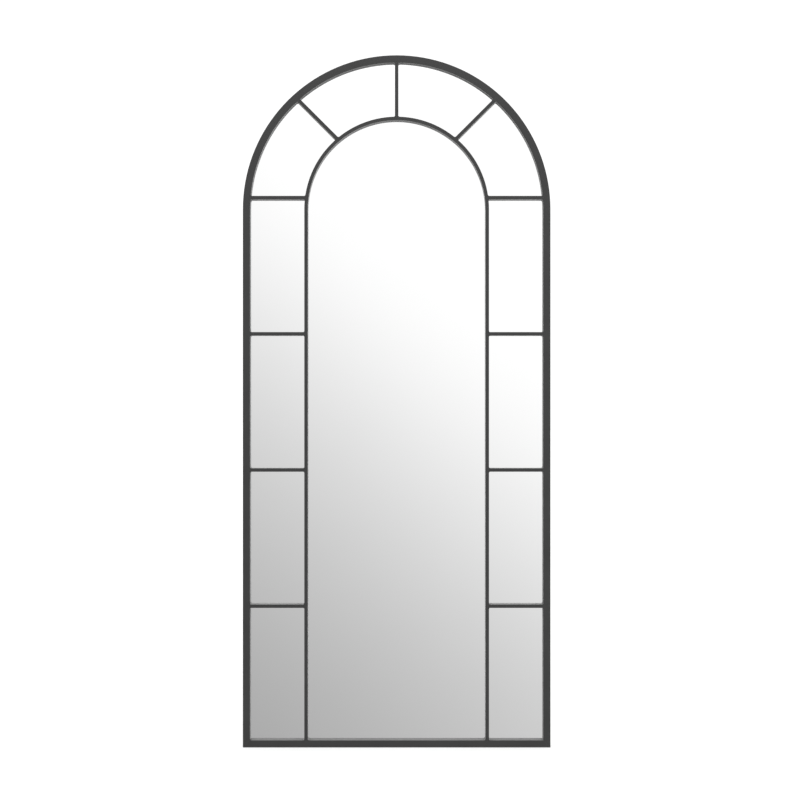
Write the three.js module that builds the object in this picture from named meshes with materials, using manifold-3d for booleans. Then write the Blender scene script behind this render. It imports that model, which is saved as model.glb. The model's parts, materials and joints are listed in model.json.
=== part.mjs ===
// Arched window mirror: a full-length wall mirror in a welded steel frame.
// Flat glazing bars stand in front of one arched pane and divide it like an old steel window.
//
// Millimetres. In the finished group X points right, Z points up and the glass faces -Y.
// The origin is the middle of the bottom rail's underside.
// Each piece is drawn in the mirror's own upright plane: x right, y up, z towards the viewer.
import * as THREE from "three";
import { mergeVertices } from "three/addons/utils/BufferGeometryUtils.js";
import Module from "manifold-3d";

// ---- Driving dimensions ---------------------------------------------------------------------

// Overall
const mirrorWidth = 800;
const mirrorHeight = 1800;
const frameDepth = 30;

// Frame section: a hollow box at the front, whose outer wall runs on to the back as a lip
const frameFace = 19;
const boxDepth = 12;
const wall = 1.5;
const cornerRadius = 1.5;

// Glazing bars: flat bar on edge, flush with the frame's face
const barWidth = 9;
const borderInset = 160; // frame's outer edge to the outer edge of the inner border
const sideBarRows = 4;
const lowestSideBar = 367.5; // height of its centre line
const topSideBarRise = 29.5; // above the springing of the arch
const fanRise = 28; // point where the fan bars' centre lines meet, above the arch's centre
const fanAngles = [45, 90, 135];
const weldLeg = 3; // weld metal in the corners where a bar meets its neighbour

// Pane and its backing
const glassThickness = 4;
const glassOverlap = 5.5; // how far the frame's box covers the edge of the glass
const boardThickness = 3;

// Fixings: weld-on lugs beside the glass, and the screws that hold the board to them
const lugLength = 20;
const archFixings = 4;
const stileFixings = 3;
const lowestFixing = 120;
const railFixingSpacing = 300;
const boardScrew = { shank: 4, head: 8, headHeight: 2.6 };

// Rubber blocks that carry the weight of the glass
const blockLength = 40;
const blockSpacing = 500;

// Hangers: a plate with a rolled knuckle that holds a loose D-ring
const hangerDrop = 140; // ring's axis below the springing
const hangerPlate = { width: 39, height: 52, thickness: 1.5, corner: 4 };
const hangerScrew = { shank: 5, head: 9.4, headHeight: 3 };
const hangerScrewSpacing = 30;
const ringInset = 31; // frame's outer edge to the middle of the ring
const ringWire = 4;
const ringWidth = 24; // between the centre lines of its legs
const ringLeg = 4; // straight part of each leg
const ringBend = 4; // centre-line radius of its two corners
const ringSplit = 1; // gap between the wire's ends, inside the knuckle
const knuckleWidth = 13;
const knuckleTail = 115; // where the rolled end stops: degrees below level on the wall side

// Clearances
const seat = 0.3; // between pieces that touch
const running = 0.3; // round the ring's wire
const lugClearance = 1;
const holeClearance = 0.35;

// Smoothness of the round forms: an arc in an outline has twice its number of flats
const archSteps = 72;
const arcFlats = 8;
const filletFlats = 2;
const weldFlats = 4;
const wireFlats = 5;
const ringSteps = 40;
const screwSides = 16;
const domeSteps = 3;

// ---- Places that follow from them -----------------------------------------------------------

const halfWidth = mirrorWidth / 2;
const springing = mirrorHeight - halfWidth;
const borderRadius = halfWidth - borderInset;
const daylight = halfWidth - frameFace; // half of the clear width inside the frame

const glassInset = frameFace - glassOverlap;
const boardInset = wall + lugClearance;
const lugWidth = glassInset - wall - 2 * lugClearance;
const fixingInset = wall + lugClearance + lugWidth / 2;

// Depths, counted back from the front face
const glassDepth = boxDepth + seat;
const boardDepth = glassDepth + glassThickness + seat;
const boardBack = boardDepth + boardThickness;
const plateDepth = boardBack + seat;
const plateBack = plateDepth + hangerPlate.thickness;

const ringHeight = springing - hangerDrop;
const ringOffset = halfWidth - ringInset;
const knuckleBore = ringWire / 2 + running;
const knuckleRadius = knuckleBore + hangerPlate.thickness;
const plateTop = ringHeight - knuckleRadius - ringWire / 2;
const plateMiddle = plateTop - hangerPlate.height / 2;

// ---- Materials ------------------------------------------------------------------------------

const finishes = {
  paint: { color: 0x464646, roughness: 0.55, metalness: 0.1 },
  mirror: { color: 0xe6e9e8, roughness: 0.03, metalness: 1.0 },
  board: { color: 0x6a4e36, roughness: 0.85, metalness: 0.0 },
  zinc: { color: 0xb4b7ba, roughness: 0.38, metalness: 1.0 },
  rubber: { color: 0x202020, roughness: 0.9, metalness: 0.0 },
};

// ---- Helpers --------------------------------------------------------------------------------

const mirror = new THREE.Group();
mirror.name = "arched_window_mirror";

const upright = new THREE.Group();
upright.rotation.x = Math.PI / 2;
mirror.add(upright);

function addPart(name, geometry, finish) {
  const mesh = new THREE.Mesh(geometry, new THREE.MeshStandardMaterial(finishes[finish]));
  mesh.name = name;
  upright.add(mesh);
  return mesh;
}

// A flat outline made into a plate, whose front lies a given depth behind the frame's face.
function slab(shape, depth, thickness, flats = arcFlats) {
  const plate = new THREE.ExtrudeGeometry(shape, {
    depth: thickness,
    bevelEnabled: false,
    curveSegments: flats,
  });
  return plate.translate(0, 0, frameDepth / 2 - depth - thickness);
}

function addHole(shape, x, y, radius) {
  const hole = new THREE.Path();
  hole.absarc(x, y, radius, 0, 2 * Math.PI, true);
  shape.holes.push(hole);
}

// The outline of the whole mirror, drawn in by an inset.
function archedOutline(inset) {
  const radius = halfWidth - inset;
  const shape = new THREE.Shape();
  shape.moveTo(-radius, inset);
  shape.lineTo(radius, inset);
  shape.lineTo(radius, springing);
  for (let step = 1; step < archSteps; step += 1) {
    const angle = (Math.PI * step) / archSteps;
    shape.lineTo(radius * Math.cos(angle), springing + radius * Math.sin(angle));
  }
  shape.lineTo(-radius, springing);
  shape.closePath();
  return shape;
}

// A section swept along a run: across is counted inwards from the mirror's outline, depth back
// from the front face, and run(across, t) gives x and y for t from 0 to 1 along the sweep.
function sweep(section, steps, run) {
  const geometry = new THREE.ExtrudeGeometry(section, {
    depth: 1,
    steps,
    bevelEnabled: false,
    curveSegments: filletFlats,
  });
  const position = geometry.getAttribute("position");
  for (let i = 0; i < position.count; i += 1) {
    const depth = position.getY(i);
    const [x, y] = run(position.getX(i), position.getZ(i));
    position.setXYZ(i, x, y, frameDepth / 2 - depth);
  }
  geometry.computeVertexNormals();
  return geometry;
}

// The four runs go clockwise round the outline: up the left, over the arch, down the right and
// back along the bottom, with mitred corners at the bottom.
const mitre = (across) => across + seat / Math.SQRT2;

function leftRun(across, t) {
  const foot = mitre(across);
  return [across - halfWidth, foot + t * (springing - seat / 2 - foot)];
}

function archRun(across, t) {
  const radius = halfWidth - across;
  const margin = seat / 2 / radius;
  const angle = margin + (1 - t) * (Math.PI - 2 * margin);
  return [radius * Math.cos(angle), springing + radius * Math.sin(angle)];
}

function rightRun(across, t) {
  const foot = mitre(across);
  return [halfWidth - across, foot + (1 - t) * (springing - seat / 2 - foot)];
}

function bottomRun(across, t) {
  const end = halfWidth - mitre(across);
  return [end * (1 - 2 * t), across];
}

// ---- Outer frame ----------------------------------------------------------------------------

// Across runs along the shape's x, and depth behind the front face along its y.
function frameSection() {
  const r = cornerRadius;
  const shape = new THREE.Shape();
  shape.moveTo(r, 0);
  shape.lineTo(frameFace - r, 0);
  shape.absarc(frameFace - r, r, r, -Math.PI / 2, 0, false);
  shape.lineTo(frameFace, boxDepth - r);
  shape.absarc(frameFace - r, boxDepth - r, r, 0, Math.PI / 2, false);
  shape.lineTo(wall, boxDepth);
  shape.lineTo(wall, frameDepth);
  shape.lineTo(0, frameDepth);
  shape.lineTo(0, r);
  shape.absarc(r, r, r, Math.PI, 1.5 * Math.PI, false);

  const hollow = new THREE.Path();
  hollow.moveTo(wall, wall);
  hollow.lineTo(wall, boxDepth - wall);
  hollow.lineTo(frameFace - wall, boxDepth - wall);
  hollow.lineTo(frameFace - wall, wall);
  hollow.closePath();
  shape.holes.push(hollow);
  return shape;
}

function addOuterFrame() {
  const section = frameSection();
  addPart("frame_stile_left", sweep(section, 1, leftRun), "paint");
  addPart("frame_arch", sweep(section, archSteps, archRun), "paint");
  addPart("frame_stile_right", sweep(section, 1, rightRun), "paint");
  addPart("frame_bottom_rail", sweep(section, 1, bottomRun), "paint");
}

// ---- Inner border ---------------------------------------------------------------------------

// Each upright stands on the bottom rail and meets the border's arch at the springing.
function addBorderUpright(name, side) {
  const middle = side * (borderRadius - barWidth / 2);
  const left = middle - barWidth / 2;
  const right = middle + barWidth / 2;
  const foot = frameFace + seat;
  const top = springing - seat / 2;

  const shape = new THREE.Shape();
  shape.moveTo(left, top);
  shape.lineTo(left, foot + weldLeg);
  shape.quadraticCurveTo(left, foot, left - weldLeg, foot);
  shape.lineTo(right + weldLeg, foot);
  shape.quadraticCurveTo(right, foot, right, foot + weldLeg);
  shape.lineTo(right, top);
  shape.closePath();
  addPart(name, slab(shape, 0, boxDepth, weldFlats), "paint");
}

function addBorderArch() {
  const section = new THREE.Shape();
  section.moveTo(borderInset, 0);
  section.lineTo(borderInset + barWidth, 0);
  section.lineTo(borderInset + barWidth, boxDepth);
  section.lineTo(borderInset, boxDepth);
  section.closePath();
  addPart("border_arch", sweep(section, archSteps, archRun), "paint");
}

function addInnerBorder() {
  addBorderUpright("border_bar_left", -1);
  addBorderArch();
  addBorderUpright("border_bar_right", 1);
}

// ---- Side bars and fan bars -----------------------------------------------------------------

// Side bars below the springing run square between a stile and the inner border.
function addStraightSideBar(name, side, height) {
  const ends = [side * (borderRadius + seat), side * (daylight - seat)];
  const left = Math.min(...ends);
  const right = Math.max(...ends);
  const bottom = height - barWidth / 2;
  const top = height + barWidth / 2;

  const shape = new THREE.Shape();
  shape.moveTo(left + weldLeg, bottom);
  shape.lineTo(right - weldLeg, bottom);
  shape.quadraticCurveTo(right, bottom, right, bottom - weldLeg);
  shape.lineTo(right, top + weldLeg);
  shape.quadraticCurveTo(right, top, right - weldLeg, top);
  shape.lineTo(left + weldLeg, top);
  shape.quadraticCurveTo(left, top, left, top + weldLeg);
  shape.lineTo(left, bottom - weldLeg);
  shape.quadraticCurveTo(left, bottom, left + weldLeg, bottom);
  addPart(name, slab(shape, 0, boxDepth, weldFlats), "paint");
}

// Where a straight edge, which starts at a point and runs in a direction, leaves a circle about
// the arch's centre. Both are given from that centre.
function leavesCircle(start, direction, radius) {
  const along = start.dot(direction);
  const reach = Math.sqrt(along * along - start.lengthSq() + radius * radius);
  return start.clone().addScaledVector(direction, reach - along);
}

// Bars inside the arch are coped: each end is cut to the curve that it meets. The centre line
// starts at a height above the arch's centre and leaves at an angle.
function addCopedBar(name, rise, degrees) {
  const angle = THREE.MathUtils.degToRad(degrees);
  const direction = new THREE.Vector2(Math.cos(angle), Math.sin(angle));
  const sideways = new THREE.Vector2(-direction.y, direction.x).multiplyScalar(barWidth / 2);
  const centreLine = new THREE.Vector2(0, rise);
  const leftEdge = centreLine.clone().add(sideways);
  const rightEdge = centreLine.clone().sub(sideways);

  // One corner: where the edge is, where the weld starts on it, and its end's angle on the curve.
  const corner = (edge, radius, back, turn) => {
    const tip = leavesCircle(edge, direction, radius);
    const start = tip.clone().addScaledVector(direction, back * weldLeg);
    const bearing = angle + Math.atan2(direction.cross(tip), direction.dot(tip));
    return { tip, start, foot: bearing + (turn * weldLeg) / radius };
  };
  const inner = borderRadius + seat;
  const outer = daylight - seat;
  const innerLeft = corner(leftEdge, inner, 1, 1);
  const innerRight = corner(rightEdge, inner, 1, -1);
  const outerLeft = corner(leftEdge, outer, -1, 1);
  const outerRight = corner(rightEdge, outer, -1, -1);
  const onCircle = (radius, bearing) => [radius * Math.cos(bearing), radius * Math.sin(bearing)];

  const shape = new THREE.Shape();
  shape.moveTo(innerRight.start.x, innerRight.start.y);
  shape.lineTo(outerRight.start.x, outerRight.start.y);
  shape.quadraticCurveTo(outerRight.tip.x, outerRight.tip.y, ...onCircle(outer, outerRight.foot));
  shape.absarc(0, 0, outer, outerRight.foot, outerLeft.foot, false);
  shape.quadraticCurveTo(outerLeft.tip.x, outerLeft.tip.y, outerLeft.start.x, outerLeft.start.y);
  shape.lineTo(innerLeft.start.x, innerLeft.start.y);
  shape.quadraticCurveTo(innerLeft.tip.x, innerLeft.tip.y, ...onCircle(inner, innerLeft.foot));
  shape.absarc(0, 0, inner, innerLeft.foot, innerRight.foot, true);
  shape.quadraticCurveTo(innerRight.tip.x, innerRight.tip.y, innerRight.start.x, innerRight.start.y);
  addPart(name, slab(shape, 0, boxDepth, weldFlats).translate(0, springing, 0), "paint");
}

function addSideBars() {
  const topSideBar = springing + topSideBarRise;
  const pitch = (topSideBar - lowestSideBar) / (sideBarRows - 1);
  for (let row = 0; row < sideBarRows - 1; row += 1) {
    const height = lowestSideBar + row * pitch;
    addStraightSideBar(`side_bar_left_${row + 1}`, -1, height);
    addStraightSideBar(`side_bar_right_${row + 1}`, 1, height);
  }
  addCopedBar(`side_bar_left_${sideBarRows}`, topSideBarRise, 180);
  addCopedBar(`side_bar_right_${sideBarRows}`, topSideBarRise, 0);
}

function addFanBars() {
  const names = ["fan_bar_right", "fan_bar_centre", "fan_bar_left"];
  fanAngles.forEach((degrees, index) => addCopedBar(names[index], fanRise, degrees));
}

// ---- Pane, backing board and the blocks under the glass -------------------------------------

function addPane() {
  addPart("mirror_glass", slab(archedOutline(glassInset), glassDepth, glassThickness), "mirror");
}

function addBackingBoard(fixings) {
  const shape = archedOutline(boardInset);
  for (const { x, y, screw } of fixings) {
    addHole(shape, x, y, screw.shank / 2 + holeClearance);
  }
  addPart("backing_board", slab(shape, boardDepth, boardThickness), "board");
}

function addSettingBlocks() {
  const bottom = wall + seat;
  const top = glassInset - seat;
  for (const [word, side] of [["left", -1], ["right", 1]]) {
    const block = new THREE.BoxGeometry(blockLength, top - bottom, glassThickness);
    const depth = glassDepth + glassThickness / 2;
    block.translate((side * blockSpacing) / 2, (bottom + top) / 2, frameDepth / 2 - depth);
    addPart(`setting_block_${word}`, block, "rubber");
  }
}

// ---- Lugs and screws ------------------------------------------------------------------------

// Every screw through the board: its place, and how far its lug is turned from lying across.
function boardFixings() {
  const edge = halfWidth - fixingInset;
  const pitch = (plateMiddle - lowestFixing) / stileFixings;
  const places = [];
  for (let i = 0; i < stileFixings; i += 1) {
    const y = lowestFixing + i * pitch;
    places.push({ name: `left_${i + 1}`, x: -edge, y, turn: Math.PI / 2 });
    places.push({ name: `right_${i + 1}`, x: edge, y, turn: Math.PI / 2 });
  }
  for (let i = 0; i < archFixings; i += 1) {
    const angle = (Math.PI * (i + 0.5)) / archFixings;
    const x = edge * Math.cos(angle);
    const y = springing + edge * Math.sin(angle);
    places.push({ name: `arch_${i + 1}`, x, y, turn: angle + Math.PI / 2 });
  }
  places.push({ name: "bottom_1", x: -railFixingSpacing / 2, y: fixingInset, turn: 0 });
  places.push({ name: "bottom_2", x: railFixingSpacing / 2, y: fixingInset, turn: 0 });
  return places.map((place) => ({ ...place, screw: boardScrew }));
}

function hangerFixings() {
  const edge = halfWidth - fixingInset;
  const places = [];
  for (const [word, side] of [["left", -1], ["right", 1]]) {
    for (const [level, sign] of [["lower", -1], ["upper", 1]]) {
      const y = plateMiddle + (sign * hangerScrewSpacing) / 2;
      places.push({ name: `${word}_${level}`, x: side * edge, y, screw: hangerScrew });
    }
  }
  return places;
}

function lugShape(length, screw, holeOffsets) {
  const shape = new THREE.Shape();
  shape.moveTo(-length / 2, -lugWidth / 2);
  shape.lineTo(length / 2, -lugWidth / 2);
  shape.lineTo(length / 2, lugWidth / 2);
  shape.lineTo(-length / 2, lugWidth / 2);
  shape.closePath();
  for (const offset of holeOffsets) {
    addHole(shape, offset, 0, screw.shank / 2 + holeClearance);
  }
  return shape;
}

function addLug(name, length, screw, holeOffsets, place) {
  const shape = lugShape(length, screw, holeOffsets);
  const lug = addPart(name, slab(shape, glassDepth, glassThickness), "paint");
  lug.position.set(place.x, place.y, 0);
  lug.rotation.z = place.turn;
}

// A pan-head screw, seated on a face at a given depth, with its shank pointing to the front.
function addScrew(name, place, faceDepth) {
  const { shank, head, headHeight } = place.screw;
  const length = faceDepth - glassDepth;
  const profile = [new THREE.Vector2(0, -length)];
  profile.push(new THREE.Vector2(shank / 2, -length));
  profile.push(new THREE.Vector2(shank / 2, 0));
  profile.push(new THREE.Vector2(head / 2, 0));
  for (let step = 0; step <= domeSteps; step += 1) {
    const angle = (Math.PI / 2) * (step / domeSteps);
    const radius = (head / 2) * Math.cos(angle);
    profile.push(new THREE.Vector2(radius, headHeight * (0.4 + 0.6 * Math.sin(angle))));
  }
  const screw = addPart(name, new THREE.LatheGeometry(profile, screwSides), "zinc");
  screw.rotation.x = -Math.PI / 2;
  screw.position.set(place.x, place.y, frameDepth / 2 - faceDepth - seat);
}

function addFixings() {
  for (const place of boardFixings()) {
    addLug(`lug_${place.name}`, lugLength, place.screw, [0], place);
    addScrew(`board_screw_${place.name}`, place, boardBack);
  }
}

// ---- Hangers --------------------------------------------------------------------------------

const wasm = await Module();
wasm.setup();

function toSolid(geometry) {
  const plain = geometry.clone();
  plain.deleteAttribute("normal");
  plain.deleteAttribute("uv");
  const merged = mergeVertices(plain, 1e-4);
  return new wasm.Manifold(
    new wasm.Mesh({
      numProp: 3,
      vertProperties: merged.getAttribute("position").array,
      triVerts: new Uint32Array(merged.index.array),
    }),
  );
}

function toGeometry(solid) {
  const mesh = solid.getMesh();
  const geometry = new THREE.BufferGeometry();
  geometry.setAttribute("position", new THREE.BufferAttribute(mesh.vertProperties, 3));
  geometry.setIndex(new THREE.BufferAttribute(mesh.triVerts, 1));
  geometry.computeVertexNormals();
  return geometry;
}

function roundedRectangle(x, y, width, height, radius) {
  const right = x + width / 2 - radius;
  const left = x - width / 2 + radius;
  const top = y + height / 2 - radius;
  const bottom = y - height / 2 + radius;
  const shape = new THREE.Shape();
  shape.absarc(right, bottom, radius, -Math.PI / 2, 0, false);
  shape.absarc(right, top, radius, 0, Math.PI / 2, false);
  shape.absarc(left, top, radius, Math.PI / 2, Math.PI, false);
  shape.absarc(left, bottom, radius, Math.PI, 1.5 * Math.PI, false);
  shape.closePath();
  return shape;
}

// The tongue that runs up from the plate and is rolled round the ring's bar, seen from its end:
// x is depth behind the plate's front, y is height above the ring's axis.
function knuckleProfile() {
  const tail = THREE.MathUtils.degToRad(-knuckleTail);
  const centre = knuckleRadius;
  const foot = plateMiddle - ringHeight;
  const shape = new THREE.Shape();
  shape.moveTo(0, foot);
  shape.lineTo(0, 0);
  shape.absarc(centre, 0, knuckleRadius, Math.PI, tail, true);
  shape.absarc(centre, 0, knuckleBore, tail, Math.PI, false);
  shape.lineTo(hangerPlate.thickness, foot);
  shape.closePath();
  return shape;
}

function addHangerPlate(word, side) {
  const edge = halfWidth - boardInset - seat;
  const middle = side * (edge - hangerPlate.width / 2);
  const { width, height, thickness, corner } = hangerPlate;
  const outline = roundedRectangle(middle, plateMiddle, width, height, corner);
  for (const { x, y, screw } of hangerFixings().filter((place) => place.x * side > 0)) {
    addHole(outline, x, y, screw.shank / 2 + holeClearance);
  }
  const flat = slab(outline, plateDepth, thickness);

  const tongue = new THREE.ExtrudeGeometry(knuckleProfile(), {
    depth: knuckleWidth,
    bevelEnabled: false,
    curveSegments: arcFlats,
  });
  tongue.rotateY(Math.PI / 2);
  tongue.translate(side * ringOffset - knuckleWidth / 2, ringHeight, frameDepth / 2 - plateDepth);

  const whole = toSolid(flat).add(toSolid(tongue));
  addPart(`hanger_plate_${word}`, toGeometry(whole), "zinc");
}

// A flat path made into a curve in space, which an extrusion can follow.
class FlatCurve extends THREE.Curve {
  constructor(path) {
    super();
    this.path = path;
  }

  getPoint(t, target = new THREE.Vector3()) {
    const point = this.path.getPoint(t);
    return target.set(point.x, point.y, 0);
  }
}

// The ring hangs from its straight bar, with its round end down. The wire's two ends meet in the
// middle of the bar, inside the knuckle.
function ringPath() {
  const reach = ringWidth / 2;
  const shoulder = reach - ringBend;
  const legFoot = -ringBend - ringLeg;
  const path = new THREE.Path();
  path.moveTo(ringSplit / 2, 0);
  path.lineTo(shoulder, 0);
  path.absarc(shoulder, -ringBend, ringBend, Math.PI / 2, 0, true);
  path.lineTo(reach, legFoot);
  path.absarc(0, legFoot, reach, 0, -Math.PI, true);
  path.lineTo(-reach, -ringBend);
  path.absarc(-shoulder, -ringBend, ringBend, Math.PI, Math.PI / 2, true);
  path.lineTo(-ringSplit / 2, 0);
  return path;
}

function addRing(word, side) {
  const wire = new THREE.Shape();
  wire.absarc(0, 0, ringWire / 2, 0, 2 * Math.PI, false);
  const ring = new THREE.ExtrudeGeometry(wire, {
    steps: ringSteps,
    curveSegments: wireFlats,
    extrudePath: new FlatCurve(ringPath()),
  });
  const depth = plateDepth + knuckleRadius;
  const mesh = addPart(`hanger_ring_${word}`, ring, "zinc");
  mesh.position.set(side * ringOffset, ringHeight, frameDepth / 2 - depth);
}

function addHangers() {
  const lugHeight = hangerScrewSpacing + lugLength;
  const half = hangerScrewSpacing / 2;
  for (const [word, side] of [["left", -1], ["right", 1]]) {
    const place = { x: side * (halfWidth - fixingInset), y: plateMiddle, turn: Math.PI / 2 };
    addLug(`hanger_lug_${word}`, lugHeight, hangerScrew, [-half, half], place);
    addHangerPlate(word, side);
    addRing(word, side);
  }
  for (const place of hangerFixings()) {
    addScrew(`hanger_screw_${place.name}`, place, plateBack);
  }
}

// ---- The mirror -----------------------------------------------------------------------------

addOuterFrame();
addInnerBorder();
addSideBars();
addFanBars();
addPane();
addBackingBoard([...boardFixings(), ...hangerFixings()]);
addSettingBlocks();
addFixings();
addHangers();

export default mirror;
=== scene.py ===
import json
import math
import random

import bmesh
import bpy
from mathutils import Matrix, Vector


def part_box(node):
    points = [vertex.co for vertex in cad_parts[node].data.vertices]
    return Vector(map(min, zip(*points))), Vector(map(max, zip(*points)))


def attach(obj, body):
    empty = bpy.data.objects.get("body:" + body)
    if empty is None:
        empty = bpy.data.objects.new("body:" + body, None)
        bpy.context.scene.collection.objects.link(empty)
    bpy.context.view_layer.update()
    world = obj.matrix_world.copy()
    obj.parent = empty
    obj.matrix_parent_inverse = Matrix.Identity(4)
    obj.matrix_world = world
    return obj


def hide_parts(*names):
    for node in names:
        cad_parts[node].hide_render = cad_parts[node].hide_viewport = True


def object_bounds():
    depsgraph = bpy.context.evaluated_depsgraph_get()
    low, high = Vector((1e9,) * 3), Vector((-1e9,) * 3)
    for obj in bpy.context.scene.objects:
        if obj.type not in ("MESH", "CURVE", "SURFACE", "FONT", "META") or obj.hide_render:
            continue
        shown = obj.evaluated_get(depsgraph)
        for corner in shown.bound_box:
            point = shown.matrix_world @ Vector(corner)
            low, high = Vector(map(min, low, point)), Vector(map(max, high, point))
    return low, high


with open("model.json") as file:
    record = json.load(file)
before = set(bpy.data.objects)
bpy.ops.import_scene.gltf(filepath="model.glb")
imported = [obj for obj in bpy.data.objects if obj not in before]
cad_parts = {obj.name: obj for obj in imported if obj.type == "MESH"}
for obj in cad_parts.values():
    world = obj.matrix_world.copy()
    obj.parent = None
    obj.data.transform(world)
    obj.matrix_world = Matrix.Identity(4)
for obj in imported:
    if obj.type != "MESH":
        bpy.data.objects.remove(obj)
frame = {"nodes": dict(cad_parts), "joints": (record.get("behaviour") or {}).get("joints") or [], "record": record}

MM = 0.001
SEED = 7
SIDES = (("left", -1), ("right", 1))

nodes = frame["nodes"]
cad_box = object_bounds()
low, high = (Vector(corner) for corner in cad_box)
random.seed(SEED)

# ---- Sizes read from the model --------------------------------------------------------------

rail_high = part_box("frame_bottom_rail")[1]
border_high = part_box("border_arch")[1]
upright_low, upright_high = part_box("border_bar_left")

# SPRINGING is the height at which the arches start. FACE is the frame's width from the front, and
# DAYLIGHT is half the clear width inside it. BORDER is half the outer width of the inner border.
# BOX_BACK is the back of the bars and of the frame's hollow box. GAP is the seam at a weld.
HALF_WIDTH = high.x
FRONT = low.y
BACK = high.y
SPRINGING = high.z - HALF_WIDTH
FACE = rail_high.z
DAYLIGHT = HALF_WIDTH - FACE
BORDER = border_high.x
BOX_BACK = border_high.y
WELD_LEG = -upright_low.x - BORDER
BAR = upright_high.x - upright_low.x - 2 * WELD_LEG
GAP = upright_low.z - FACE

# Sizes of the frame's section that the model's boxes don't show
FRAME_RADIUS = 1.5 * MM
LIP = 1.5 * MM


def points_of(node_name):
    """A model node's points, where they lie in the frame."""
    node = nodes[node_name]
    return [node.matrix_world @ vertex.co for vertex in node.data.vertices]


# ---- Node helpers ---------------------------------------------------------------------------

class Nodes:
    """A material's or the world's node tree, with short calls to add nodes and join them."""

    def __init__(self, tree):
        self.tree = tree
        tree.nodes.clear()

    def put(self, socket, value):
        if isinstance(value, bpy.types.NodeSocket):
            self.tree.links.new(value, socket)
        else:
            socket.default_value = value

    def add(self, kind, inputs=None, **settings):
        node = self.tree.nodes.new(kind)
        for name, value in settings.items():
            setattr(node, name, value)
        for name, value in (inputs or {}).items():
            self.put(node.inputs[name], value)
        return node

    def math(self, operation, a, b=0.0, c=0.0):
        return self.add("ShaderNodeMath", {0: a, 1: b, 2: c}, operation=operation).outputs[0]

    def noise(self, vector, scale, detail=3.0, roughness=0.55):
        inputs = {"Vector": vector, "Scale": scale, "Detail": detail, "Roughness": roughness}
        return self.add("ShaderNodeTexNoise", inputs).outputs["Fac"]

    def ramp(self, value, low_in, high_in, low_out, high_out, curve="LINEAR"):
        inputs = {
            "Value": value,
            "From Min": low_in,
            "From Max": high_in,
            "To Min": low_out,
            "To Max": high_out,
        }
        return self.add("ShaderNodeMapRange", inputs, interpolation_type=curve).outputs["Result"]

    def fade(self, value, low_in, high_in):
        return self.ramp(value, low_in, high_in, 0.0, 1.0, "SMOOTHSTEP")

    # The Mix node's sockets share their names, so they go by number: 2 and 3 are its two
    # numbers, and 6 and 7 are its two colours.

    def blend(self, factor, a, b):
        node = self.add("ShaderNodeMix", {0: factor, 2: a, 3: b}, data_type="FLOAT")
        return node.outputs[0]

    def mix(self, factor, a, b):
        node = self.add("ShaderNodeMix", {0: factor, 6: a, 7: b}, data_type="RGBA")
        return node.outputs[2]

    def stretched(self, vector, x, y, z):
        return self.add("ShaderNodeMapping", {"Vector": vector, "Scale": (x, y, z)}).outputs[0]

    def bump(self, height, strength, distance, normal=None):
        inputs = {"Strength": strength, "Distance": distance, "Height": height}
        if normal:
            inputs["Normal"] = normal
        return self.add("ShaderNodeBump", inputs).outputs[0]

    def place(self):
        return self.add("ShaderNodeTexCoord").outputs["Object"]

    def finish(self, inputs):
        shader = self.add("ShaderNodeBsdfPrincipled", inputs)
        self.add("ShaderNodeOutputMaterial", {"Surface": shader.outputs[0]})


def colour(red, green, blue):
    return (red, green, blue, 1.0)


def grey(value):
    return colour(value, value, value)


def new_material(name):
    material = bpy.data.materials.new(name)
    material.use_nodes = True
    return material, Nodes(material.node_tree)


# ---- Materials ------------------------------------------------------------------------------

# The cosine between the rounded and the true normal, on a flat and on a sharp edge
FLAT_COSINE = 0.995
EDGE_COSINE = 0.80
BEVEL_SAMPLES = 4

COAT_RADIUS = 0.6 * MM
PLATE_RADIUS = 0.5 * MM
PLATE_RUB = 0.5
PLATE_GRAIN = 0.25
NOISE_MIDDLE = 0.5

# How squarely a point of the glass faces forwards or back before it starts to be silver or
# paint, and when it wholly is
LEAST_FACING = 0.5
FULL_FACING = 0.9
GROUND_ROUGHNESS = 0.4
FILM_ROUGHNESS = 0.012

FIBRE_LEANS = [math.radians(lean) for lean in (8, 52, 97, 141)]
FIBRE_STRETCH = 0.14
DRAWN_STRETCH = 0.04


def rounded_normal(tree, radius):
    """The normal that the surface would have with its sharp edges rounded."""
    return tree.add("ShaderNodeBevel", {"Radius": radius}, samples=BEVEL_SAMPLES).outputs[0]


def edge_mask(tree, rounded):
    """1 on sharp edges and 0 on flats: how far a rounded normal leans from the true one."""
    true = tree.add("ShaderNodeNewGeometry").outputs["Normal"]
    dot = tree.add("ShaderNodeVectorMath", {0: rounded, 1: true}, operation="DOT_PRODUCT")
    return tree.ramp(dot.outputs["Value"], FLAT_COSINE, EDGE_COSINE, 0.0, 1.0)


def powder_coat(name, dark, light, bare):
    """Satin powder coat: fine orange peel, faint mottle, and a thinner coat along the edges."""
    material, tree = new_material(name)
    place = tree.place()
    mottle = tree.noise(place, 14.0, detail=4.0)
    speckle = tree.noise(place, 1400.0, detail=2.0)
    peel = tree.noise(place, 560.0, detail=2.0, roughness=0.5)
    tone = tree.ramp(tree.math("ADD", mottle, speckle), 0.7, 1.3, 0.0, 1.0)
    rub = tree.ramp(tree.noise(place, 90.0, detail=5.0), 0.45, 0.62, 0.0, 0.5)
    rounded = rounded_normal(tree, COAT_RADIUS)
    wear = tree.math("MULTIPLY", edge_mask(tree, rounded), rub)
    tree.finish({
        "Base Color": tree.mix(wear, tree.mix(tone, dark, light), bare),
        "Roughness": tree.ramp(speckle, 0.3, 0.7, 0.36, 0.44),
        "Normal": tree.bump(peel, strength=0.45, distance=0.14 * MM, normal=rounded),
        "Specular IOR Level": 0.42,
        "Sheen Weight": 0.4,
        "Sheen Roughness": 0.4,
    })
    return material


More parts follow.
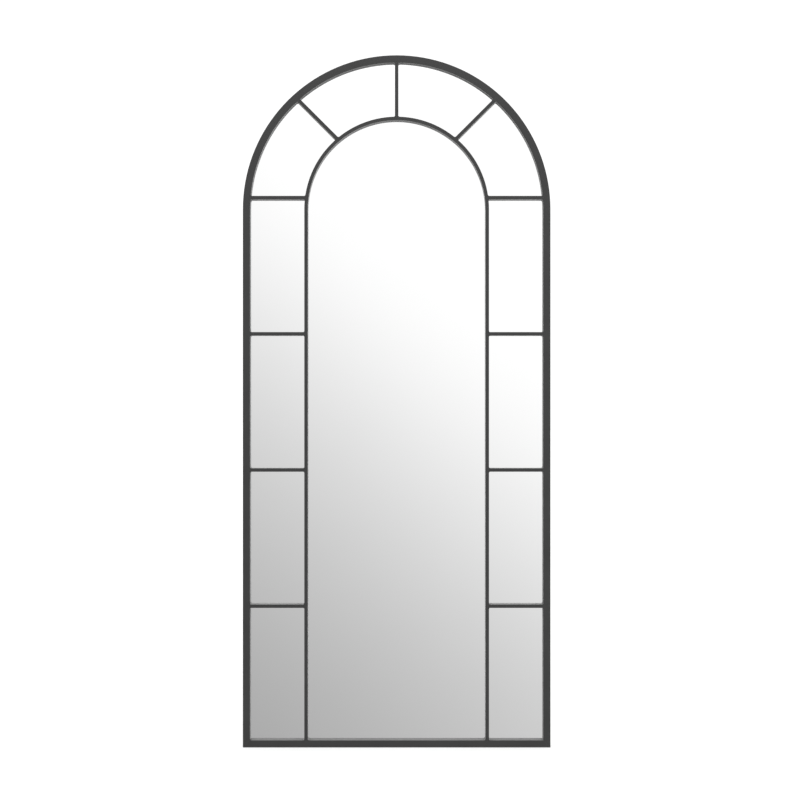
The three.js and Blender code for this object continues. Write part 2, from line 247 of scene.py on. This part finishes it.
def silvered_glass(name):
    """Silver seen through clear glass; its ground edge is green and its back is grey paint."""
    material, tree = new_material(name)
    place = tree.place()
    normal = tree.add("ShaderNodeTexCoord").outputs["Normal"]
    facing = tree.add("ShaderNodeSeparateXYZ", {0: normal}).outputs["Y"]
    front = tree.ramp(facing, -LEAST_FACING, -FULL_FACING, 0.0, 1.0)
    back = tree.ramp(facing, LEAST_FACING, FULL_FACING, 0.0, 1.0)
    edge = tree.mix(tree.noise(place, 300.0), colour(0.05, 0.16, 0.12), colour(0.10, 0.24, 0.19))
    paint = tree.mix(tree.noise(place, 60.0), colour(0.20, 0.21, 0.22), colour(0.26, 0.27, 0.28))
    silver = tree.mix(tree.noise(place, 5.0), grey(0.928), colour(0.940, 0.941, 0.940))
    film = tree.ramp(tree.noise(place, 7.0, detail=6.0), 0.3, 0.8, 0.0, FILM_ROUGHNESS)
    ground = tree.ramp(front, 0.0, 1.0, GROUND_ROUGHNESS, 0.0)
    tree.finish({
        "Base Color": tree.mix(front, tree.mix(back, edge, paint), silver),
        "Metallic": front,
        "Roughness": tree.math("ADD", film, ground),
    })
    return material


def hardboard(name):
    """Pressed brown fibre board: short fibres that lie in all directions, and darker clots."""
    material, tree = new_material(name)
    place = tree.place()
    fibres = 0.0
    for lean in FIBRE_LEANS:
        turned = tree.add("ShaderNodeMapping", {"Vector": place, "Rotation": (0, lean, 0)})
        along = tree.stretched(turned.outputs[0], 1.0, 1.0, FIBRE_STRETCH)
        fibres = tree.math("MAXIMUM", tree.noise(along, 1000.0, detail=2.0), fibres)
    clots = tree.noise(place, 38.0, detail=6.0, roughness=0.7)
    specks = tree.ramp(tree.noise(place, 260.0, detail=2.0), 0.62, 0.74, 0.0, 0.45)
    tone = tree.ramp(tree.math("ADD", fibres, clots), 0.85, 1.40, 0.0, 1.0)
    brown = tree.mix(tone, colour(0.105, 0.054, 0.028), colour(0.200, 0.110, 0.060))
    tree.finish({
        "Base Color": tree.mix(specks, brown, colour(0.060, 0.029, 0.015)),
        "Roughness": tree.ramp(clots, 0.3, 0.7, 0.50, 0.72),
        "Normal": tree.bump(fibres, strength=0.45, distance=0.10 * MM),
        "Specular IOR Level": 0.35,
    })
    return material


def zinc_plate(name, smooth, rough):
    """Bright zinc plate: cloudy passivation, fine drawing marks and rubbed edges."""
    material, tree = new_material(name)
    place = tree.place()
    clouds = tree.noise(place, 130.0, detail=6.0, roughness=0.7)
    stains = tree.ramp(tree.noise(place, 55.0, detail=3.0), 0.48, 0.66, 0.0, 0.5)
    lines = tree.noise(tree.stretched(place, 1.0, 1.0, DRAWN_STRETCH), 2600.0, detail=3.0)
    plate = tree.mix(tree.ramp(clouds, 0.35, 0.65, 0.0, 1.0), grey(0.50), colour(0.66, 0.66, 0.64))
    plate = tree.mix(stains, plate, colour(0.50, 0.49, 0.43))
    rub = tree.math("MULTIPLY", edge_mask(tree, rounded_normal(tree, PLATE_RADIUS)), PLATE_RUB)
    grain = tree.math("MULTIPLY", tree.math("SUBTRACT", lines, NOISE_MIDDLE), PLATE_GRAIN)
    tree.finish({
        "Base Color": tree.mix(rub, plate, grey(0.78)),
        "Metallic": 1.0,
        "Roughness": tree.math("ADD", tree.ramp(clouds, 0.35, 0.65, smooth, rough), grain),
        "Normal": tree.bump(lines, strength=0.4, distance=0.03 * MM),
    })
    return material


def black_rubber(name):
    """Extruded rubber: dull black with a fine grain."""
    material, tree = new_material(name)
    grain = tree.noise(tree.place(), 1100.0, detail=4.0)
    tree.finish({
        "Base Color": tree.mix(grain, grey(0.010), grey(0.022)),
        "Roughness": tree.ramp(grain, 0.3, 0.7, 0.75, 0.92),
        "Normal": tree.bump(grain, strength=0.4, distance=0.05 * MM),
    })
    return material


finishes = {
    "frame_paint": powder_coat("frame_paint", dark=grey(0.014), light=grey(0.020), bare=grey(0.032)),
    "lug_paint": powder_coat("lug_paint", dark=grey(0.011), light=grey(0.015), bare=grey(0.07)),
    "mirror_glass": silvered_glass("mirror_glass"),
    "hardboard": hardboard("hardboard"),
    "screw_zinc": zinc_plate("screw_zinc", smooth=0.22, rough=0.36),
    "hanger_zinc": zinc_plate("hanger_zinc", smooth=0.30, rough=0.46),
    "ring_zinc": zinc_plate("ring_zinc", smooth=0.20, rough=0.34),
    "rubber": black_rubber("rubber"),
}


# ---- The model's own pieces -----------------------------------------------------------------

SHARP_ANGLE = math.radians(32)
FLAT_ANGLE = math.radians(0.5)
JOIN_DISTANCE = 0.01 * MM
FLAT_WEIGHT = 100
ROUNDED_SLOTS = ("lug_paint", "hanger_zinc", "hardboard", "rubber")
SHEET_RADIUS = 0.25 * MM
EDGE_SEGMENTS = 2


def shade(mesh, slot):
    mesh.materials.clear()
    mesh.materials.append(finishes[slot])
    for polygon in mesh.polygons:
        polygon.use_smooth = True


def round_edges(node):
    bevel = node.modifiers.new("round_edges", "BEVEL")
    bevel.width = SHEET_RADIUS
    bevel.segments = EDGE_SEGMENTS
    bevel.limit_method = "ANGLE"
    bevel.angle_limit = SHARP_ANGLE
    bevel.use_clamp_overlap = False
    bevel.loop_slide = False


def dress_model():
    """Joins each node's triangles into flats and smooth curves, and gives it its finish.

    The lugs, hanger plates, board and rubber blocks get rounded edges. The others stay sharp."""
    for subpart in frame["record"]["subparts"]:
        node = nodes[subpart["node"]]
        slot = subpart["material_slot"]
        shade(node.data, slot)
        node.modifiers.new("join_faces", "WELD").merge_threshold = JOIN_DISTANCE
        flats = node.modifiers.new("merge_flats", "DECIMATE")
        flats.decimate_type = "DISSOLVE"
        flats.angle_limit = FLAT_ANGLE
        if slot in ROUNDED_SLOTS:
            round_edges(node)
        else:
            node.modifiers.new("keep_edges", "EDGE_SPLIT").split_angle = SHARP_ANGLE
        node.modifiers.new("flat_faces", "WEIGHTED_NORMAL").weight = FLAT_WEIGHT


# ---- New pieces -----------------------------------------------------------------------------

def add_piece(name, points, faces, slot, body="mirror"):
    mesh = bpy.data.meshes.new(name)
    mesh.from_pydata(points, [], faces)
    shell = bmesh.new()
    shell.from_mesh(mesh)
    bmesh.ops.recalc_face_normals(shell, faces=shell.faces)
    shell.to_mesh(mesh)
    shell.free()
    shade(mesh, slot)
    mesh.set_sharp_from_angle(angle=SHARP_ANGLE)
    piece = bpy.data.objects.new(name, mesh)
    bpy.context.scene.collection.objects.link(piece)
    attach(piece, body)
    return piece


def add_loft(name, loops, slot, body="mirror"):
    """A closed solid through loops of points, one after another, with flat ends."""
    count = len(loops[0])
    faces = []
    for row in range(len(loops) - 1):
        for column in range(count):
            here = row * count
            after = (column + 1) % count
            there = here + count
            faces.append((here + column, here + after, there + after, there + column))
    last = (len(loops) - 1) * count
    faces.append(tuple(range(count)))
    faces.append(tuple(range(last, last + count)))
    return add_piece(name, [point for loop in loops for point in loop], faces, slot, body)


# ---- Welds at the ends of the bars ----------------------------------------------------------

# How far the ground metal lies below the faces, how much its front ripples, and how far it
# reaches over a bar and over the frame
WELD_INSET = 0.03 * MM
WELD_RIPPLE = 0.05 * MM
BAR_COVER = 0.9 * MM
FRAME_COVER = 1.7 * MM
WELD_STEPS = 14

# A point of a bar lies on its foot if it is within this many gaps of what the bar meets
FOOT_GAPS = 1.2


def beside_upright(x, side):
    """Places beside an upright edge at x: along runs up, and across runs out to one side."""
    return lambda along, across: (x + side * across, along)


def above_rail(along, across):
    return along, FACE + across


def beside_circle(radius, side):
    """Places beside a circle about the arch's centre: along is its arc, from the right-hand end."""
    def place(along, across):
        reach = radius + side * across
        angle = along / radius
        return reach * math.cos(angle), SPRINGING + reach * math.sin(angle)
    return place


def fillet_height(beyond):
    """How thick the weld is beside the bar, at a distance beyond the bar's own width."""
    if beyond <= 0:
        return WELD_LEG
    return WELD_LEG * (1 - math.sqrt(min(1, beyond / WELD_LEG))) ** 2


def add_bar_weld(name, place, start, end, cover):
    """Ground weld metal across a bar's end. It fills the seam and covers the neighbour's edge."""
    middle = 0.5 * (start + end)
    half_bar = 0.5 * (end - start) - WELD_LEG
    loops = []
    for step in range(WELD_STEPS + 1):
        along = start + (end - start) * step / WELD_STEPS
        ahead = GAP + min(BAR_COVER, fillet_height(abs(along - middle) - half_bar))
        loop = []
        for across in (-cover, -0.5 * cover, 0, 0.5 * ahead, ahead):
            x, z = place(along, across)
            loop.append((x, FRONT + WELD_INSET + WELD_RIPPLE * random.random(), z))
        for across in (ahead, -cover):
            x, z = place(along, across)
            loop.append((x, BOX_BACK - WELD_INSET, z))
        loops.append(loop)
    add_loft(name, loops, "frame_paint")


def foot_on_circle(bar, radius):
    """Where a coped bar's end starts and stops along a circle, as arcs from its right-hand end."""
    arcs = []
    for point in points_of(bar):
        if abs(math.hypot(point.x, point.z - SPRINGING) - radius) < FOOT_GAPS * GAP:
            arcs.append(radius * math.atan2(point.z - SPRINGING, point.x))
    return min(arcs), max(arcs)


def weld_straight_bars(top_row):
    """Welds the uprights to the rail, and all cross bars but the coped top ones at both ends."""
    for word, side in SIDES:
        lowest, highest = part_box(f"border_bar_{word}")
        add_bar_weld(f"weld_border_bar_{word}", above_rail, lowest.x, highest.x, FRAME_COVER)
        inner = beside_upright(side * BORDER, side)
        outer = beside_upright(side * DAYLIGHT, -side)
        for row in range(1, top_row):
            bar = f"side_bar_{word}_{row}"
            lowest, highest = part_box(bar)
            add_bar_weld(f"weld_{bar}_inner", inner, lowest.z, highest.z, BAR_COVER)
            add_bar_weld(f"weld_{bar}_outer", outer, lowest.z, highest.z, FRAME_COVER)


def weld_coped_bars(top_row):
    """Welds the fan's bars and the top cross bars to the arches that their ends are cut to."""
    inner = beside_circle(BORDER, 1)
    outer = beside_circle(DAYLIGHT, -1)
    coped = [
        f"side_bar_left_{top_row}",
        "fan_bar_left",
        "fan_bar_centre",
        "fan_bar_right",
        f"side_bar_right_{top_row}",
    ]
    for bar in coped:
        start, end = foot_on_circle(bar, BORDER)
        add_bar_weld(f"weld_{bar}_inner", inner, start, end, BAR_COVER)
        start, end = foot_on_circle(bar, DAYLIGHT)
        add_bar_weld(f"weld_{bar}_outer", outer, start, end, FRAME_COVER)


def weld_bars():
    top_row = max(int(name[-1]) for name in nodes if name.startswith("side_bar_left"))
    weld_straight_bars(top_row)
    weld_coped_bars(top_row)


# ---- Butt welds, ground flush ---------------------------------------------------------------

# How far a plug lies inside the faces, and how far it runs into the lengths it joins
FLUSH = 0.02 * MM
SEAM_LAP = 0.4 * MM
SEAM_REACH = 0.5 * GAP + SEAM_LAP
CORNER_STEPS = 4


def corner(across, depth, radius, start):
    """A quarter turn about a point, from an angle in degrees, as (across, depth) pairs."""
    turn = [math.radians(start + 90 * step / CORNER_STEPS) for step in range(CORNER_STEPS + 1)]
    return [(across + radius * math.cos(t), depth + radius * math.sin(t)) for t in turn]


def frame_section():
    """The frame's section with its lip, as (across, depth) pairs from its outer front edge."""
    r = FRAME_RADIUS
    inner = FACE - FLUSH - r
    box_depth = BOX_BACK - FRONT - FLUSH
    outline = corner(r + FLUSH, r + FLUSH, r, 180)
    outline += corner(inner, r + FLUSH, r, 270)
    outline += corner(inner, box_depth - r, r, 0)
    lip = LIP - FLUSH
    lip_depth = BACK - FRONT - FLUSH
    outline += [(lip, box_depth), (lip, lip_depth), (FLUSH, lip_depth)]
    return outline


def bar_section():
    """A bar's section, as (across, depth) pairs from its outer front edge."""
    inner = BAR - FLUSH
    back = BOX_BACK - FRONT - FLUSH
    return [(FLUSH, FLUSH), (inner, FLUSH), (inner, back), (FLUSH, back)]


def across_springing(outer, side):
    """Places at a level seam at the springing: across runs in from the outer face, offset up."""
    return lambda across, offset: (side * (outer - across), SPRINGING + offset)


def across_mitre(side):
    """Places at a corner's mitre: across runs in from both outer faces, and offset runs square
    to the mitre. Nothing lies so near the outer faces that its offset takes it past them."""
    def place(across, offset):
        lean = offset * math.sqrt(0.5)
        inward = max(across, SEAM_REACH)
        return side * (HALF_WIDTH - inward + lean), inward + lean
    return place


def add_butt_weld(name, section, place):
    """A plug through the seam between two lengths of one section, a hair inside their faces."""
    loops = []
    for offset in (-SEAM_REACH, 0, SEAM_REACH):
        loop = []
        for across, depth in section:
            x, z = place(across, offset)
            loop.append((x, FRONT + depth, z))
        loops.append(loop)
    add_loft(name, loops, "frame_paint")


def weld_butts():
    for word, side in SIDES:
        add_butt_weld(f"weld_frame_{word}", frame_section(), across_springing(HALF_WIDTH, side))
        add_butt_weld(f"weld_border_{word}", bar_section(), across_springing(BORDER, side))
        add_butt_weld(f"weld_corner_{word}", frame_section(), across_mitre(side))


# ---- Screws ---------------------------------------------------------------------------------

SCREW_SIDES = 96
DOME_STEPS = 30

# The chamfer under the head and at the tip, and the share of the head's height below its dome
RIM = 0.2 * MM
RIM_HEIGHT = 0.4

# The cross recess, in shares of the head's radius, and how steeply its flanks and ends rise
RECESS_HALF_WIDTH = 0.15
RECESS_REACH = 0.60
RECESS_DEPTH = 0.42
FLANK_RISE = 2.2
END_RISE = 1.6

# A point of the model's screw further out than this share of the head's radius is on its rim
HEAD_SHARE = 0.9


def recess_depth(u, v, head_radius):
    """Depth of the cross recess at a point of the head, given from its middle."""
    half_width = RECESS_HALF_WIDTH * head_radius
    reach = RECESS_REACH * head_radius
    deepest = RECESS_DEPTH * head_radius

    def arm(across, along):
        side = min(1, max(0, FLANK_RISE * (1 - abs(across) / half_width)))
        return side * min(1, max(0, END_RISE * (1 - abs(along) / reach)))
    return deepest * max(arm(u, v), arm(v, u))


def screw_profile(head_radius, head_height, shank_radius, length):
    """Radius and height above the head's underside, from the dome down to the shank's tip."""
    profile = []
    for step in range(1, DOME_STEPS + 1):
        turn = 0.5 * math.pi * step / DOME_STEPS
        height = head_height * (RIM_HEIGHT + (1 - RIM_HEIGHT) * math.cos(turn))
        profile.append((head_radius * math.sin(turn), height))
    profile += [(head_radius, RIM), (head_radius - RIM, 0)]
    profile += [(shank_radius, 0), (shank_radius, RIM - length), (shank_radius - RIM, -length)]
    return profile


def add_screw(node_name):
    """A pan-head screw with a cross recess, in the place of the model's plain one."""
    tip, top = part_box(node_name)
    middle = 0.5 * (tip + top)
    places = points_of(node_name)
    spans = [(math.hypot(place.x - middle.x, place.z - middle.z), place.y) for place in places]
    head_radius = 0.5 * (top.x - tip.x)
    under = min(depth for radius, depth in spans if radius > HEAD_SHARE * head_radius)
    shank_radius = max(radius for radius, depth in spans if depth < under - RIM)
    turned = random.uniform(0, 0.5 * math.pi)

    points = [(middle.x, top.y - recess_depth(0, 0, head_radius), middle.z)]
    for radius, height in screw_profile(head_radius, top.y - under, shank_radius, under - tip.y):
        for side in range(SCREW_SIDES):
            angle = 2 * math.pi * side / SCREW_SIDES
            u, v = radius * math.cos(angle), radius * math.sin(angle)
            sunk = recess_depth(u, v, head_radius) if height > RIM else 0
            x = u * math.cos(turned) - v * math.sin(turned)
            z = u * math.sin(turned) + v * math.cos(turned)
            points.append((middle.x + x, under + height - sunk, middle.z + z))

    rings = (len(points) - 1) // SCREW_SIDES
    faces = [tuple(range(1 + (rings - 1) * SCREW_SIDES, 1 + rings * SCREW_SIDES))]
    for side in range(SCREW_SIDES):
        after = (side + 1) % SCREW_SIDES
        faces.append((0, 1 + side, 1 + after))
        for ring in range(rings - 1):
            here = 1 + ring * SCREW_SIDES
            there = here + SCREW_SIDES
            faces.append((here + side, there + side, there + after, here + after))
    screw = add_piece(f"cross_head_{node_name}", points, faces, "screw_zinc")
    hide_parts(node_name)


def add_screws():
    for name in sorted(nodes):
        if name.startswith(("board_screw", "hanger_screw")):
            add_screw(name)


# ---- D-rings --------------------------------------------------------------------------------

RING_BEND = 4 * MM
RING_SPLIT = 1 * MM
BEND_STEPS = 10
ROUND_STEPS = 36
WIRE_SIDES = 28


def half_ring(reach, drop):
    """Centre line of a ring's right half, as (across, up, heading), from the split to its foot."""
    shoulder = reach - RING_BEND
    round_top = reach - drop
    path = [(0.5 * RING_SPLIT, 0, 0)]
    for step in range(BEND_STEPS + 1):
        turn = 0.5 * math.pi * (1 - step / BEND_STEPS)
        across = shoulder + RING_BEND * math.cos(turn)
        path.append((across, RING_BEND * (math.sin(turn) - 1), turn - 0.5 * math.pi))
    for step in range(ROUND_STEPS + 1):
        turn = -0.5 * math.pi * step / ROUND_STEPS
        across = reach * math.cos(turn)
        path.append((across, round_top + reach * math.sin(turn), turn - 0.5 * math.pi))
    return path


def add_ring(word):
    """A ring of round wire, bent to a D. Its ends nearly meet in the middle of its bar."""
    lowest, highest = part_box(f"hanger_ring_{word}")
    joint = next(j for j in frame["joints"] if j["name"] == f"ring_{word}_swing")
    middle = 0.5 * (lowest.x + highest.x)
    axis_y, axis_z = joint["pos_m"][1], joint["pos_m"][2]
    wire = highest.z - axis_z
    right = half_ring(0.5 * (highest.x - lowest.x) - wire, axis_z - wire - lowest.z)
    left = [(-across, up, -heading) for across, up, heading in reversed(right[:-1])]
    loops = []
    for across, up, heading in right + left:
        loop = []
        for side in range(WIRE_SIDES):
            angle = 2 * math.pi * side / WIRE_SIDES
            out = wire * math.cos(angle)
            x = middle + across - out * math.sin(heading)
            z = axis_z + up + out * math.cos(heading)
            loop.append((x, axis_y + wire * math.sin(angle), z))
        loops.append(loop)
    ring = add_loft(f"d_ring_{word}", loops, "ring_zinc", f"ring_{word}")
    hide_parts(f"hanger_ring_{word}")


# ---- Studio ---------------------------------------------------------------------------------

# The photograph is 800 pixels wide and high. The mirror's middle is a little left of its middle.
PHOTO_PIXELS = 800
MIRROR_PIXELS = 307.8
MIRROR_MIDDLE_PIXEL = 396.65
MIRROR_FOOT_PIXEL = 747.6
CAMERA_DISTANCE = 3.25
SENSOR_MM = 36


def add_camera():
    pixel = 2 * HALF_WIDTH / MIRROR_PIXELS
    data = bpy.data.cameras.new("camera")
    data.sensor_width = SENSOR_MM
    data.lens = SENSOR_MM * CAMERA_DISTANCE / (PHOTO_PIXELS * pixel)
    data.clip_start = 0.05
    data.clip_end = 200
    camera = bpy.data.objects.new("camera", data)
    camera.location.x = (PHOTO_PIXELS / 2 - MIRROR_MIDDLE_PIXEL) * pixel
    camera.location.y = FRONT - CAMERA_DISTANCE
    camera.location.z = (MIRROR_FOOT_PIXEL - PHOTO_PIXELS / 2) * pixel
    camera.rotation_euler = (math.pi / 2, 0, 0)
    bpy.context.scene.collection.objects.link(camera)
    bpy.context.scene.camera = camera


# The room in front of the mirror is a soft gradient at eye level, brighter upwards and to the
# right. Above it is a pale wall and a broad ceiling light, and below it the pale floor. Behind
# the mirror the room is as bright as the backdrop, and dimmer towards the floor.
ROOM_LEVEL = 0.93
ROOM_RISE = 2.22
ROOM_SIDE = 1.75
ROOM_ASIDE = 0.20
ROOM_LOWEST = -0.30
ROOM_SOFT = 0.14
ROOM_WHITE = 1.10
ROOM_KNEE = 0.32
BACKDROP = 1.12
BACK_FLOOR = 0.45
HIGH_WALL = 1.6
LOW_FLOOR = 1.8
CEILING = 3.4

# Where each part of the room starts and is full: Z or Y of the direction that one looks in
WALL_ZONE = (0.18, 0.42)
FLOOR_ZONE = (-0.26, -0.80)
BACK_FLOOR_ZONE = (-0.04, -0.34)
BACK_ZONE = (-0.05, 0.25)
CEILING_ZONE = (0.74, 0.90)


def add_room_light():
    world = bpy.data.worlds.new("room")
    bpy.context.scene.world = world
    world.use_nodes = True
    tree = Nodes(world.node_tree)
    direction = tree.add("ShaderNodeTexCoord").outputs["Generated"]
    axes = tree.add("ShaderNodeSeparateXYZ", {0: direction}).outputs
    aside = tree.math("SMOOTH_MIN", axes["X"], ROOM_ASIDE, ROOM_SOFT)
    aside = tree.math("SMOOTH_MAX", aside, -ROOM_ASIDE, ROOM_SOFT)
    upwards = tree.math("SMOOTH_MAX", axes["Z"], ROOM_LOWEST, ROOM_SOFT)
    slope = tree.math("MULTIPLY_ADD", aside, ROOM_SIDE, tree.math("MULTIPLY", upwards, ROOM_RISE))
    gradient = tree.math("MULTIPLY", tree.math("EXPONENT", slope), ROOM_LEVEL)
    light = tree.math("SMOOTH_MIN", gradient, ROOM_WHITE, ROOM_KNEE)
    light = tree.blend(tree.fade(axes["Z"], *WALL_ZONE), light, HIGH_WALL)
    light = tree.blend(tree.fade(axes["Z"], *FLOOR_ZONE), light, LOW_FLOOR)
    behind = tree.blend(tree.fade(axes["Z"], *BACK_FLOOR_ZONE), BACKDROP, BACK_FLOOR)
    light = tree.blend(tree.fade(axes["Y"], *BACK_ZONE), light, behind)
    light = tree.blend(tree.fade(axes["Z"], *CEILING_ZONE), light, CEILING)
    background = tree.add("ShaderNodeBackground", {"Color": grey(1.0), "Strength": light})
    tree.add("ShaderNodeOutputWorld", {"Surface": background.outputs[0]})


STAGE_REACH = 40
FLOOR_DROP = 0.5 * MM
FLOOR_GLOW = 0.6
BACKDROP_REACH = 0.95 * STAGE_REACH
BACKDROP_SIDES = 48


def add_surround(name, points, faces, material):
    """A stage piece that gives the picture its plain ground and isn't seen in the mirror."""
    mesh = bpy.data.meshes.new(name)
    mesh.from_pydata(points, [], faces)
    mesh.materials.append(material)
    surround = bpy.data.objects.new(name, mesh)
    surround.visible_glossy = False
    bpy.context.scene.collection.objects.link(surround)
    return surround


def add_floor():
    """A pale floor as bright as the backdrop, which keeps a faint shadow under the mirror."""
    material, tree = new_material("floor")
    grain = tree.noise(tree.place(), 3.0)
    tree.finish({
        "Base Color": tree.mix(grain, grey(0.26), grey(0.28)),
        "Roughness": 0.9,
        "Specular IOR Level": 0.1,
        "Emission Color": grey(1.0),
        "Emission Strength": FLOOR_GLOW,
    })
    far = STAGE_REACH
    level = low.z - FLOOR_DROP
    corners = [(-far, -far, level), (far, -far, level), (far, far, level), (-far, far, level)]
    add_surround("floor", corners, [(0, 1, 2, 3)], material)


def add_backdrop():
    """A round pale wall far off. It lights nothing, and the room light comes through it."""
    material, tree = new_material("backdrop")
    glow = tree.add("ShaderNodeEmission", {"Color": grey(1.0), "Strength": BACKDROP})
    tree.add("ShaderNodeOutputMaterial", {"Surface": glow.outputs[0]})
    reach = BACKDROP_REACH
    points = []
    for height in (low.z, STAGE_REACH):
        for side in range(BACKDROP_SIDES):
            angle = 2 * math.pi * side / BACKDROP_SIDES
            points.append((reach * math.cos(angle), reach * math.sin(angle), height))
    faces = []
    for side in range(BACKDROP_SIDES):
        after = (side + 1) % BACKDROP_SIDES
        faces.append((side, after, BACKDROP_SIDES + after, BACKDROP_SIDES + side))
    wall = add_surround("backdrop", points, faces, material)
    wall.visible_diffuse = False
    wall.visible_transmission = False
    wall.visible_shadow = False


add_camera()
add_room_light()
add_floor()
add_backdrop()
dress_model()
weld_bars()
weld_butts()
add_screws()
add_ring("left")
add_ring("right")
bpy.context.scene.view_settings.view_transform = "Standard"
